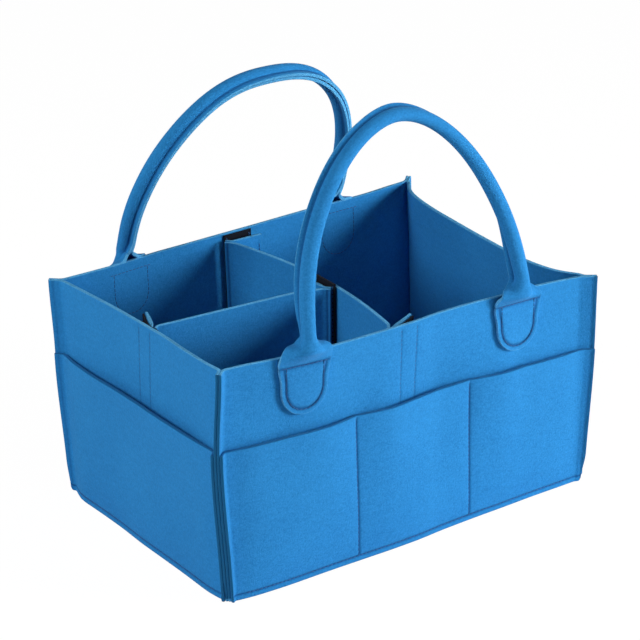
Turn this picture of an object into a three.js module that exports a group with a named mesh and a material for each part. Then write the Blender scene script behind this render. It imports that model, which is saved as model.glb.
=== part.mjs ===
// A felt diaper caddy: an open box of four sewn walls on a base, with outer pockets,
// two wrapped carrying handles and two lift-out dividers held by hook and loop strips.
// Millimetres, +X along the front wall to the right, +Y to the back, +Z up.
// The origin is under the middle of the caddy, on the surface that it stands on.
import * as THREE from "three";

// Overall sizes, taken over the seam edges that stand out at the corners.
const caddyLength = 350;
const caddyWidth = 235;
const rimHeight = 180;

// The felt and the way it is sewn: raw edges stand outwards, halfway between the two sheets.
const feltThickness = 3;
const layerGap = 0.5;
const seatGap = 0.3;
const cornerSeamReach = 8;
const cornerBendRun = 6;
const bendSteps = 3;

// The base is a flat sheet whose edge is turned down inside the walls' feet and sewn there.
const baseEdgeDrop = 6;
const baseBendRadius = 1.5;
const baseCornerRadius = 14;
const baseCornerSteps = 6;

// The right wall sags inwards towards its rim, and its pocket panel goes with it.
const sagDepth = 17;
const sagSpanPower = 4;
const sagRisePower = 1.5;
const sagRowShares = [0.25, 0.45, 0.64, 0.82];
const sagPlaceShares = [-0.85, -0.7, -0.45, 0, 0.45, 0.7, 0.85];

// The outer pockets are sewn into the corner and base seams and open at the top.
// Their height is a share of the wall's, so that they stay clear of the handles' patches.
const pocketShare = 0.661;
const pocketHeight = pocketShare * rimHeight;
const pocketStitchOffset = 53.6;
const pocketMouthBulge = 2.2;
const pocketBulgeShares = [0.25, 0.5, 0.75];

// Each handle is a felt sleeve round a cord core, sewn to a wall through two flat patches.
const handleDiameter = 14;
const handleBore = 8;
const coreDiameter = 7;
const coreInset = 1;
const hingeRise = 2.5;
const handleSteps = 26;
const handleSides = 10;
const coreSides = 6;
// start is how far over the hinge line a sleeve ends, and standOff how far outside it.
const handles = {
  front: {
    side: -1,
    centre: 0,
    halfSpan: 98.6,
    start: 2,
    standOff: 5.6,
    height: 149.8,
    lean: 12,
    power: 1.85,
    skewShare: 0,
  },
  back: {
    side: 1,
    centre: -9,
    halfSpan: 98,
    start: 2.5,
    standOff: 6.106,
    height: 138.8,
    lean: 16,
    power: 2.3,
    skewShare: 0.08,
  },
};

// A patch is a rounded tongue whose shoulders narrow into the handle above the rim.
const patchWidth = 40;
const patchDrop = 48;
const patchRoundHeight = 22;
const patchShoulderDrop = 9;
const patchNeckWidth = 15;
const patchNeckRise = 3.7;
const patchCurveSteps = 6;

// Hook strips on the divider flanges grip loop strips on the walls and on the cross divider.
const stripWidth = 25;
const stripThickness = 1.5;
const stripTopDrop = 1;
const stripBaseLift = 6;
const frontLoopX = -3;
const backLoopX = -10;
const leftLoopY = -4;

// Dividers: a panel with a narrow flange sewn across each end.
const dividerTop = 174;
const dividerSeamReach = 2.5;
const flangeLength = 26.4;
const flangeStripStart = 0.8;
const finClearance = 0.4;
const crossDividerFrontX = -13;
const crossDividerBackX = -18;
const crossDividerBow = 14.2;
const crossLoopClearance = 0.9;
const crossBowShares = [-0.8, -0.6, -0.4, -0.2, 0, 0.2, 0.4, 0.6, 0.8];
const longDividerLeftY = -2;
const longDividerRightY = -10.5;
const dividerLoopShift = 4.5;
const splayDegrees = { back: 3, front: 22, right: 4, left: 24 };

// Places that follow from the sizes above.
const half = feltThickness / 2;
const layerPitch = feltThickness + layerGap;
const outerStandOff = (cornerSeamReach + layerGap / 2 + layerPitch + feltThickness) / Math.SQRT2;
const outerX = caddyLength / 2 - outerStandOff;
const outerY = caddyWidth / 2 - outerStandOff;
const floorTop = baseEdgeDrop + feltThickness;
const innerX = outerX - feltThickness;
const innerY = outerY - feltThickness;
const stripStandOff = seatGap + stripThickness;
const crossDividerX = (crossDividerFrontX + crossDividerBackX) / 2;
const crossDividerTurn = (crossDividerBackX - crossDividerFrontX) / 2;

const feltColour = 0x2f8fd0;
const shadedFeltColour = 0x2678b8;
const dividerFeltColour = 0x2a82c4;
const coreColour = 0xd8d4c8;
const hookColour = 0x16171a;
const loopColour = 0x1f2024;

const caddy = new THREE.Group();

function addMesh(name, geometry, colour, parent = caddy, roughness = 0.95) {
  const material = new THREE.MeshStandardMaterial({ color: colour, roughness, metalness: 0 });
  const mesh = new THREE.Mesh(geometry, material);
  mesh.name = name;
  parent.add(mesh);
  return mesh;
}

// Turns every triangle round if the closed surface encloses a negative volume.
function faceOutwards(points, triangles) {
  let volume = 0;
  for (const [a, b, c] of triangles) {
    volume += points[a].dot(new THREE.Vector3().crossVectors(points[b], points[c]));
  }
  return volume < 0 ? triangles.map(([a, b, c]) => [a, c, b]) : triangles;
}

function solidFrom(points, triangles) {
  const geometry = new THREE.BufferGeometry();
  const positions = points.flatMap((p) => [p.x, p.y, p.z]);
  geometry.setAttribute("position", new THREE.Float32BufferAttribute(positions, 3));
  geometry.setIndex(faceOutwards(points, triangles).flat());
  geometry.computeVertexNormals();
  return geometry;
}

// A grid of points on a sheet's middle surface, thickened by half on each side
// along its own normals and closed round its edge.
function sheetGeometry(grid) {
  const columns = grid.length;
  const rows = grid[0].length;
  const step = (i, j, di, dj) => {
    const i0 = Math.max(i - di, 0);
    const i1 = Math.min(i + di, columns - 1);
    const j0 = Math.max(j - dj, 0);
    const j1 = Math.min(j + dj, rows - 1);
    const after = grid[i1][j1].clone().sub(grid[i][j]);
    const before = grid[i][j].clone().sub(grid[i0][j0]);
    if (after.lengthSq() > 0) after.normalize();
    if (before.lengthSq() > 0) before.normalize();
    return after.add(before);
  };
  const points = [];
  for (const sign of [1, -1]) {
    for (let i = 0; i < columns; i += 1) {
      for (let j = 0; j < rows; j += 1) {
        const normal = step(i, j, 1, 0).cross(step(i, j, 0, 1)).normalize();
        points.push(grid[i][j].clone().addScaledVector(normal, sign * half));
      }
    }
  }
  const at = (side, i, j) => side * columns * rows + i * rows + j;
  const triangles = [];
  const quad = (a, b, c, d) => triangles.push([a, b, c], [a, c, d]);
  for (let i = 0; i + 1 < columns; i += 1) {
    for (let j = 0; j + 1 < rows; j += 1) {
      quad(at(0, i, j), at(0, i + 1, j), at(0, i + 1, j + 1), at(0, i, j + 1));
      quad(at(1, i, j), at(1, i, j + 1), at(1, i + 1, j + 1), at(1, i + 1, j));
    }
  }
  for (let i = 0; i + 1 < columns; i += 1) {
    quad(at(0, i, 0), at(1, i, 0), at(1, i + 1, 0), at(0, i + 1, 0));
    quad(at(0, i, rows - 1), at(0, i + 1, rows - 1), at(1, i + 1, rows - 1), at(1, i, rows - 1));
  }
  for (let j = 0; j + 1 < rows; j += 1) {
    quad(at(0, 0, j), at(0, 0, j + 1), at(1, 0, j + 1), at(1, 0, j));
    quad(at(0, columns - 1, j), at(1, columns - 1, j), at(1, columns - 1, j + 1), at(0, columns - 1, j + 1));
  }
  return solidFrom(points, triangles);
}

// The points of a soft bend: a quadratic curve round a turning point.
function bendPoints(from, turn, to, steps) {
  return new THREE.QuadraticBezierCurve(from, turn, to).getPoints(steps);
}

// One sheet's line where two sheets turn outwards together and are sewn edge to edge.
// Along is measured towards the seam, out is away from the outer face of the first layer.
// Layer 0 is the wall itself and layer 1 the pocket panel that lies over it.
function seamLine(cornerAlong, layer, reach, bendRun) {
  const out = layer * layerPitch - half;
  const aside = layerGap / 2 + half + layer * layerPitch;
  const turnAlong = Math.SQRT2 * out - aside;
  const turn = new THREE.Vector2(cornerAlong + (turnAlong - aside) / Math.SQRT2, out);
  const run = bendRun / Math.SQRT2;
  const start = turn.clone().sub(new THREE.Vector2(bendRun, 0));
  const end = turn.clone().add(new THREE.Vector2(run, run));
  const tip = new THREE.Vector2(
    cornerAlong + (reach - aside) / Math.SQRT2,
    (reach + aside) / Math.SQRT2,
  );
  return [...bendPoints(start, turn, end, bendSteps), tip];
}

// A wall or pocket panel: it stands upright and turns out into the corner seams at its ends.
// middle lists the places between, heights the rows, and shift says how far a place
// stands out from the flat.
function uprightPanel(halfRun, layer, middle, heights, shift, place) {
  const rightSide = seamLine(halfRun, layer, cornerSeamReach, cornerBendRun);
  const leftSide = rightSide.map((p) => new THREE.Vector2(-p.x, p.y)).reverse();
  const plan = [...leftSide, ...middle.map((s) => new THREE.Vector2(s, rightSide[0].y)), ...rightSide];
  return sheetGeometry(plan.map((p) => heights.map((z) => place(p.x, p.y + shift(p.x, z), z))));
}

// The four sides of the box, each with the way from its own measures to the caddy's.
const sides = {
  front: { halfRun: outerX, place: (s, n, z) => new THREE.Vector3(s, -outerY - n, z) },
  back: { halfRun: outerX, place: (s, n, z) => new THREE.Vector3(-s, outerY + n, z) },
  left: { halfRun: outerY, place: (s, n, z) => new THREE.Vector3(-outerX - n, -s, z) },
  right: { halfRun: outerY, place: (s, n, z) => new THREE.Vector3(outerX + n, s, z) },
};
const sideColours = {
  front: feltColour,
  back: feltColour,
  left: shadedFeltColour,
  right: shadedFeltColour,
};
const saggingSide = "right";
// Where the upright stitch lines part the pocket panels into pockets.
const pocketStitches = {
  front: [-pocketStitchOffset, pocketStitchOffset],
  back: [-pocketStitchOffset, pocketStitchOffset],
  left: [],
  right: [],
};

// How far the sagging side stands out, which is inwards, at a place and a height.
function sagAt(halfRun, s, z) {
  const across = Math.abs(s) / (halfRun - cornerBendRun);
  const up = (z - floorTop) / (rimHeight - floorTop);
  if (across >= 1 || up <= 0) return 0;
  return -sagDepth * (1 - across ** sagSpanPower) * up ** sagRisePower;
}

const sagHeights = [floorTop, ...sagRowShares.map((share) => share * rimHeight)];

function addWall(name) {
  const { halfRun, place } = sides[name];
  const sags = name === saggingSide;
  const middle = sags ? sagPlaceShares.map((share) => share * halfRun) : [0];
  const heights = sags ? [0, ...sagHeights, rimHeight] : [0, rimHeight];
  const shift = (s, z) => (sags ? sagAt(halfRun, s, z) : 0);
  addMesh(`${name}_wall`, uprightPanel(halfRun, 0, middle, heights, shift, place), sideColours[name]);
}

// Each pocket's free edge stands out a little between its stitch lines.
function addPocketPanel(name) {
  const { halfRun, place } = sides[name];
  const sags = name === saggingSide;
  const edge = halfRun - baseCornerRadius;
  const stops = [-edge, ...pocketStitches[name], edge];
  const bulgePlaces = [...stops];
  for (let i = 0; i + 1 < stops.length; i += 1) {
    for (const share of pocketBulgeShares) bulgePlaces.push(stops[i] + share * (stops[i + 1] - stops[i]));
  }
  bulgePlaces.sort((a, b) => a - b);
  const bulge = (s, z) => {
    const i = stops.findIndex((stop, k) => s >= stop && s <= stops[k + 1]);
    if (i < 0) return 0;
    const share = (s - stops[i]) / (stops[i + 1] - stops[i]);
    const up = Math.max(0, z - floorTop) / (pocketHeight - floorTop);
    return pocketMouthBulge * 4 * share * (1 - share) * up;
  };
  const middle = sags ? sagPlaceShares.map((share) => share * halfRun) : bulgePlaces;
  const rows = sags ? sagHeights.filter((z) => z < pocketHeight) : [floorTop];
  const heights = [0, ...rows, pocketHeight];
  const shift = sags ? (s, z) => sagAt(halfRun, s, z) : bulge;
  const geometry = uprightPanel(halfRun, 1, middle, heights, shift, place);
  addMesh(`${name}_pocket_panel`, geometry, sideColours[name]);
}

// The base is a stack of rounded rectangles: over the top, down its turned edge, and back
// underneath. The profile gives the way in from the outer face of the edge, and the height.
function baseGeometry() {
  const outerBend = baseBendRadius + feltThickness;
  const corner = (inset, level) => new THREE.Vector2(inset, level);
  const over = bendPoints(
    corner(outerBend, floorTop),
    corner(0, floorTop),
    corner(0, floorTop - outerBend),
    bendSteps,
  );
  const under = bendPoints(
    corner(feltThickness, floorTop - outerBend),
    corner(feltThickness, baseEdgeDrop),
    corner(outerBend, baseEdgeDrop),
    bendSteps,
  );
  const profile = [...over, corner(0, 0), corner(feltThickness, 0), ...under];
  const runX = innerX - seatGap - baseCornerRadius;
  const runY = innerY - seatGap - baseCornerRadius;
  const points = [];
  for (const p of profile) {
    const radius = baseCornerRadius - p.x;
    for (let quarter = 0; quarter < 4; quarter += 1) {
      const signX = quarter === 0 || quarter === 3 ? 1 : -1;
      const signY = quarter < 2 ? 1 : -1;
      for (let k = 0; k <= baseCornerSteps; k += 1) {
        const angle = ((quarter + k / baseCornerSteps) * Math.PI) / 2;
        const x = signX * runX + radius * Math.cos(angle);
        const y = signY * runY + radius * Math.sin(angle);
        points.push(new THREE.Vector3(x, y, p.y));
      }
    }
  }
  const around = 4 * (baseCornerSteps + 1);
  const triangles = [];
  for (let ring = 0; ring + 1 < profile.length; ring += 1) {
    for (let k = 0; k < around; k += 1) {
      const a = ring * around + k;
      const b = ring * around + ((k + 1) % around);
      triangles.push([a, b, b + around], [a, b + around, a + around]);
    }
  }
  const lastRing = (profile.length - 1) * around;
  const topCentre = points.push(new THREE.Vector3(0, 0, floorTop)) - 1;
  const underCentre = points.push(new THREE.Vector3(0, 0, baseEdgeDrop)) - 1;
  for (let k = 0; k < around; k += 1) {
    const next = (k + 1) % around;
    triangles.push([topCentre, next, k], [underCentre, lastRing + k, lastRing + next]);
  }
  return solidFrom(points, triangles);
}

// A patch lies flat on a wall's outer face: round at the foot, straight up its sides,
// with shoulders that sweep in to the neck just over the rim.
function patchGeometry() {
  const halfWidth = patchWidth / 2;
  const halfNeck = patchNeckWidth / 2;
  const foot = -patchDrop;
  const roundTop = foot + patchRoundHeight;
  const shoulder = -patchShoulderDrop;
  const roundPull = (halfWidth + patchRoundHeight) / 4;
  const neckPull = (patchShoulderDrop + patchNeckRise) / 2;
  const neckBend = patchNeckRise - neckPull;
  const shape = new THREE.Shape();
  shape.moveTo(0, foot);
  shape.bezierCurveTo(roundPull, foot, halfWidth, roundTop - roundPull, halfWidth, roundTop);
  shape.lineTo(halfWidth, shoulder);
  shape.bezierCurveTo(halfWidth, shoulder + neckPull, halfNeck, neckBend, halfNeck, patchNeckRise);
  shape.lineTo(-halfNeck, patchNeckRise);
  shape.bezierCurveTo(-halfNeck, neckBend, -halfWidth, shoulder + neckPull, -halfWidth, shoulder);
  shape.lineTo(-halfWidth, roundTop);
  shape.bezierCurveTo(-halfWidth, roundTop - roundPull, -roundPull, foot, 0, foot);
  const options = { depth: feltThickness, bevelEnabled: false, curveSegments: patchCurveSteps };
  return new THREE.ExtrudeGeometry(shape, options).rotateX(Math.PI / 2);
}

// The arch of a handle in its own upright plane: a rounded power curve from foot to foot.
class HandleArch extends THREE.Curve {
  constructor(handle, trim) {
    super();
    this.handle = handle;
    this.trim = trim;
  }

  getPoint(share, target = new THREE.Vector3()) {
    const { side, standOff, start, halfSpan, height, power, skewShare } = this.handle;
    const rise = height - start;
    const angle = Math.PI * (this.trim + share * (1 - 2 * this.trim));
    const across = Math.sign(Math.cos(angle)) * Math.abs(Math.cos(angle)) ** (2 / power);
    const up = start + rise * Math.max(0, Math.sin(angle)) ** (2 / power);
    return target.set(-halfSpan * across + skewShare * (up - start), side * standOff, up);
  }
}

function roundShape(radius, hole) {
  const shape = new THREE.Shape();
  shape.absarc(0, 0, radius, 0, Math.PI * 2, false);
  if (hole) {
    const bore = new THREE.Path();
    bore.absarc(0, 0, hole, 0, Math.PI * 2, true);
    shape.holes.push(bore);
  }
  return shape;
}

// A tube or rod of the given section along a handle's arch.
function archGeometry(handle, shape, sidesAround, trim) {
  return new THREE.ExtrudeGeometry(shape, {
    steps: handleSteps,
    curveSegments: sidesAround,
    bevelEnabled: false,
    extrudePath: new HandleArch(handle, trim),
  });
}

// A handle turns about the necks of its patches, just over the rim, and leans in.
function addHandle(name) {
  const handle = handles[name];
  const frame = new THREE.Group();
  const hingeOut = outerY + seatGap + half;
  frame.position.set(handle.centre, handle.side * hingeOut, rimHeight + hingeRise);
  frame.rotation.x = handle.side * THREE.MathUtils.degToRad(handle.lean);
  caddy.add(frame);
  const sleeve = archGeometry(handle, roundShape(handleDiameter / 2, handleBore / 2), handleSides, 0);
  const coreTrim = coreInset / (handle.height + handle.halfSpan) / 2;
  const core = archGeometry(handle, roundShape(coreDiameter / 2, 0), coreSides, coreTrim);
  addMesh(`${name}_handle_sleeve`, sleeve, feltColour, frame);
  addMesh(`${name}_handle_core`, core, coreColour, frame, 0.8);
  for (const [end, across] of [["left", -1], ["right", 1]]) {
    const patch = addMesh(`${name}_handle_${end}_patch`, patchGeometry(), feltColour);
    const faceY = handle.side * (outerY + seatGap) + (handle.side > 0 ? feltThickness : 0);
    patch.position.set(handle.centre + across * handle.halfSpan, faceY, rimHeight);
  }
}

// A loop strip stands flat on a wall's inner face. It is given by its middle and its face.
function addLoopStrip(name, x, y, alongX, parent = caddy) {
  const height = rimHeight - stripTopDrop - floorTop - stripBaseLift;
  const sizeX = alongX ? stripWidth : stripThickness;
  const sizeY = alongX ? stripThickness : stripWidth;
  const strip = addMesh(name, new THREE.BoxGeometry(sizeX, sizeY, height), loopColour, parent);
  strip.position.set(x, y, floorTop + stripBaseLift + height / 2);
}

// Where a divider's panel and flange meet: the corner of their outer faces, seen from the
// thing that the flange grips, with the raw edges of the seam just clear of its loop strip.
const dividerAside = layerGap / 2 + half;
const finStandOff = (dividerSeamReach + dividerAside + half) / Math.SQRT2;
const flangeStandOff = stripStandOff + finClearance + finStandOff;
const flangeTurn = (Math.SQRT2 * -half - dividerAside - dividerAside) / Math.SQRT2;
const crossDividerFace = crossDividerX - half + crossDividerBow;

// The line of a divider sheet from the tip of its raw edge, round the bend and on along.
// corner is the corner of the outer faces, gripDirection points at the thing that is gripped,
// asideDirection is the way the raw edges lean, and along is the way this sheet runs on.
function dividerEndLine(corner, faceDirection, otherDirection) {
  const diagonal = faceDirection.clone().add(otherDirection).divideScalar(Math.SQRT2);
  const aside = faceDirection.clone().sub(otherDirection).divideScalar(Math.SQRT2);
  const tip = corner.clone()
    .addScaledVector(diagonal, dividerSeamReach)
    .addScaledVector(aside, dividerAside);
  const turn = corner.clone()
    .addScaledVector(faceDirection, -half)
    .addScaledVector(otherDirection, flangeTurn);
  return { tip, turn };
}

function uprightStrip(line, low, high) {
  const levels = [low, high];
  return sheetGeometry(line.map((p) => levels.map((z) => new THREE.Vector3(p.x, p.y, z))));
}

// A flange with its hook strip. faceDirection points at the gripped face, and the flange
// runs away from otherDirection, swung off the gripped face by its splay.
function addFlange(group, name, { corner, faceDirection, otherDirection }, splay) {
  const angle = THREE.MathUtils.degToRad(splay);
  const { tip, turn } = dividerEndLine(corner, faceDirection, otherDirection);
  const along = otherDirection.clone()
    .multiplyScalar(-Math.cos(angle))
    .addScaledVector(faceDirection, -Math.sin(angle));
  const face = faceDirection.clone()
    .multiplyScalar(Math.cos(angle))
    .addScaledVector(otherDirection, -Math.sin(angle));
  const end = turn.clone().addScaledVector(along, flangeLength);
  const low = floorTop + seatGap;
  addMesh(`${name}_flange`, uprightStrip([tip, turn, end], low, dividerTop), dividerFeltColour, group);
  const height = dividerTop - stripTopDrop - floorTop - stripBaseLift;
  const hookGeometry = new THREE.BoxGeometry(stripWidth, stripThickness, height);
  const strip = addMesh(`${name}_hook_strip`, hookGeometry, hookColour, group);
  const middle = turn.clone()
    .addScaledVector(along, flangeStripStart + stripWidth / 2)
    .addScaledVector(face, half + seatGap + stripThickness / 2);
  strip.position.set(middle.x, middle.y, floorTop + stripBaseLift + height / 2);
  strip.rotation.z = Math.atan2(along.y, along.x);
}

// A divider's panel runs from one seam to the other, with its raw edges turned aside.
function addDividerPanel(group, name, ends, middle) {
  const line = ends.map(({ corner, faceDirection, otherDirection }) =>
    dividerEndLine(corner, otherDirection, faceDirection));
  const points = [line[0].tip, line[0].turn, ...middle, line[1].turn, line[1].tip];
  addMesh(name, uprightStrip(points, floorTop + seatGap, dividerTop), dividerFeltColour, group);
}

function addCrossDivider() {
  const group = new THREE.Group();
  caddy.add(group);
  const reach = innerY - flangeStandOff;
  const otherDirection = new THREE.Vector2(-1, 0);
  const seam = (x, y, towards) => ({
    corner: new THREE.Vector2(x - half, y),
    faceDirection: new THREE.Vector2(0, towards),
    otherDirection,
  });
  const back = seam(crossDividerBackX, reach, 1);
  const front = seam(crossDividerFrontX, -reach, -1);
  const middle = crossBowShares.map((share) => {
    const bow = crossDividerBow * (1 - share * share);
    return new THREE.Vector2(crossDividerX - crossDividerTurn * share + bow, -share * reach);
  });
  addDividerPanel(group, "cross_divider_panel", [back, front], middle);
  addFlange(group, "cross_divider_back", back, splayDegrees.back);
  addFlange(group, "cross_divider_front", front, splayDegrees.front);
  const loopX = crossDividerFace - crossLoopClearance - stripThickness / 2;
  addLoopStrip("cross_divider_loop_strip", loopX, longDividerRightY + dividerLoopShift, false, group);
}

function addLongDivider() {
  const group = new THREE.Group();
  caddy.add(group);
  const leftX = -innerX + flangeStandOff;
  const rightX = crossDividerFace + seatGap - crossLoopClearance - flangeStandOff;
  const otherDirection = new THREE.Vector2(0, -1);
  const seam = (x, y, towards) => ({
    corner: new THREE.Vector2(x, y - half),
    faceDirection: new THREE.Vector2(towards, 0),
    otherDirection,
  });
  const left = seam(leftX, longDividerLeftY, -1);
  const right = seam(rightX, longDividerRightY, 1);
  addDividerPanel(group, "long_divider_panel", [left, right], []);
  addFlange(group, "long_divider_left", left, splayDegrees.left);
  addFlange(group, "long_divider_right", right, splayDegrees.right);
}

addMesh("base_panel", baseGeometry(), shadedFeltColour);
for (const name of Object.keys(sides)) {
  addWall(name);
  addPocketPanel(name);
}
const wallStripOffset = seatGap + stripThickness / 2;
addLoopStrip("front_loop_strip", frontLoopX, -innerY + wallStripOffset, true);
addLoopStrip("back_loop_strip", backLoopX, innerY - wallStripOffset, true);
addLoopStrip("left_loop_strip", -innerX + wallStripOffset, leftLoopY, false);
addHandle("front");
addHandle("back");
addCrossDivider();
addLongDivider();

export default caddy;
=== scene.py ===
import math
import bpy
import numpy as np
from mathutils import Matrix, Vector


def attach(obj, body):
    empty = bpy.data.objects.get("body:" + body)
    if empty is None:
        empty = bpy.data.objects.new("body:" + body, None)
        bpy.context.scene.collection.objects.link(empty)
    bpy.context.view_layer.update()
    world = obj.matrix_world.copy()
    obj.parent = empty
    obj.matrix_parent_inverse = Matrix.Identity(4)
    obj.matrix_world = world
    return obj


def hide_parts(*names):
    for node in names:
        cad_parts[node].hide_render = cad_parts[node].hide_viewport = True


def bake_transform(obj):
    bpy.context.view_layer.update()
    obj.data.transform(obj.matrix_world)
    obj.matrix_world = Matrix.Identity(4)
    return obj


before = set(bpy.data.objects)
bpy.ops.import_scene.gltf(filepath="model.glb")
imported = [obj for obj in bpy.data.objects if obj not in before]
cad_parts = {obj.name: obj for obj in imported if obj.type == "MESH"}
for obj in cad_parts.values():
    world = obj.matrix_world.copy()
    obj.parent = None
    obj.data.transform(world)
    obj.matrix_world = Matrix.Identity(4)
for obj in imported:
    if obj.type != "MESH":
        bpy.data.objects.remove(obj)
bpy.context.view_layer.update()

print("frame loaded")


# ---- objects and shader nodes
def addObject(name, data):
    # an object with the given data, put into the scene
    item = bpy.data.objects.new(name, data)
    bpy.context.scene.collection.objects.link(item)
    return item


def setInputs(tree, node, inputs):
    # each input by its name or number: another node's output is linked, a value is set
    for key, value in inputs.items():
        if isinstance(value, bpy.types.NodeSocket):
            tree.links.new(value, node.inputs[key])
        else:
            node.inputs[key].default_value = value


def addNode(tree, kind, inputs, **settings):
    # a shader node with its settings and its inputs
    node = tree.nodes.new("ShaderNode" + kind)
    for key, value in settings.items():
        setattr(node, key, value)
    setInputs(tree, node, inputs)
    return node


def mixColours(tree, share, low, high, **settings):
    # the colour that lies the given share of the way from low to high
    inputs = {0: share, 6: low, 7: high}
    return addNode(tree, "Mix", inputs, data_type="RGBA", **settings).outputs[2]


def addBump(tree, height, strength, depth):
    # a normal that is bent by a height
    inputs = {"Height": height, "Strength": strength, "Distance": depth}
    return addNode(tree, "Bump", inputs).outputs[0]


# ---- camera and light, as in a plain product photograph
photoView = {
    "place": (-1.182, -1.653, 1.015),
    "turn": -35.427,  # degrees about Z, away from looking along +Y
    "tilt": 23.289,  # degrees downwards
    "lens": 163.2,
    "sensor": 36.0,
    "clipEnd": 30,
}
cameraData = bpy.data.cameras.new("photoCamera")
cameraData.lens = photoView["lens"]
cameraData.sensor_width = photoView["sensor"]
cameraData.clip_end = photoView["clipEnd"]
cameraObject = addObject("photoCamera", cameraData)
cameraObject.location = photoView["place"]
cameraObject.rotation_euler = (
    math.radians(90 - photoView["tilt"]), 0, math.radians(photoView["turn"]))
bpy.context.scene.camera = cameraObject

studio = {
    "lamps": {  # the place, size and power of each
        "keyLamp": ((1.2, -1.2, 0.54), 0.8, 34),
        "fillLamp": ((-2.2, 0.2, 1.3), 1.2, 36),
        "topLamp": ((0.0, -0.9, 2.2), 0.8, 4),
    },
    "lampAim": (0, 0, 0.12),
    "skyStrength": 0.035,
    "skyColour": (0.93, 0.97, 1.0),
    "white": (1, 1, 1, 1),
    "floorColour": (0.9, 0.9, 0.9),
    "floorWhite": 1.03,
    "floorGlow": 0.95,  # how much of the floor shows as plain white to the camera
    "floorReach": 6.0,
    "floorHeight": -0.0004,
}


def addLamp(name, place, size, power):
    # a round lamp that is turned towards the caddy
    lamp = bpy.data.lights.new(name, "AREA")
    lamp.shape = "DISK"
    lamp.size = size
    lamp.energy = power
    lampObject = addObject(name, lamp)
    lampObject.location = place
    aim = Vector(studio["lampAim"]) - Vector(place)
    lampObject.rotation_euler = aim.to_track_quat("-Z", "Y").to_euler()


for name, (place, size, power) in studio["lamps"].items():
    addLamp(name, place, size, power)
bpy.context.scene.view_settings.view_transform = "Standard"


def twoShaders(owner, operation, other, real, seen, end):
    # the real shader lights, and the camera sees the other one by a share: the camera ray,
    # put together with a number or with another kind of ray
    owner.use_nodes = True
    tree = owner.node_tree
    tree.nodes.clear()
    ray = addNode(tree, "LightPath", {}).outputs
    other = ray[other] if isinstance(other, str) else other
    share = addNode(tree, "Math", {0: ray["Is Camera Ray"], 1: other}, operation=operation)
    real, seen = (addNode(tree, kind, inputs) for kind, inputs in (real, seen))
    mix = addNode(tree, "MixShader", {0: share.outputs[0], 1: real.outputs[0], 2: seen.outputs[0]})
    addNode(tree, end, {"Surface": mix.outputs[0]})


world = bpy.data.worlds.new("studioSky")
bpy.context.scene.world = world
twoShaders(
    world, "MAXIMUM", "Is Glossy Ray",
    ("Background", {"Color": (*studio["skyColour"], 1), "Strength": studio["skyStrength"]}),
    ("Background", {"Color": studio["white"], "Strength": 1}), "OutputWorld")

reach = studio["floorReach"]
floorMesh = bpy.data.meshes.new("studioFloor")
floorMesh.from_pydata(
    [(x, y, studio["floorHeight"]) for x, y in (
        (-reach, -reach), (reach, -reach), (reach, reach), (-reach, reach))],
    [], [(0, 1, 2, 3)])
floorObject = addObject("studioFloor", floorMesh)
floorPaper = bpy.data.materials.new("studioPaper")
twoShaders(
    floorPaper, "MULTIPLY", studio["floorGlow"],
    ("BsdfDiffuse", {"Color": (*studio["floorColour"], 1)}),
    ("Emission", {"Color": studio["white"], "Strength": studio["floorWhite"]}), "OutputMaterial")
floorMesh.materials.append(floorPaper)
print("camera, lamps and floor made")

# ---- the box that everything is sewn to, in millimetres
box = {
    "outerX": 164.57,  # outer faces of the end walls
    "outerY": 107.07,  # outer faces of the long walls
    "rim": 180.0,
    "felt": 3.0,
    "pressedFelt": 2.2,  # its thickness at the raw edges of the corner seams
    "layerPitch": 3.5,
    "layerGap": 0.5,
    "seatGap": 0.3,
    "seamReach": 7.0,  # how far a corner seam's raw edges stand out
    "seamBend": 2.4,
    "floorTop": 9.0,
    "pocketTop": 119.0,
}
halfFelt = box["felt"] / 2
innerX = box["outerX"] - box["felt"]
innerY = box["outerY"] - box["felt"]
longSides = ("front", "back")

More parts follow.
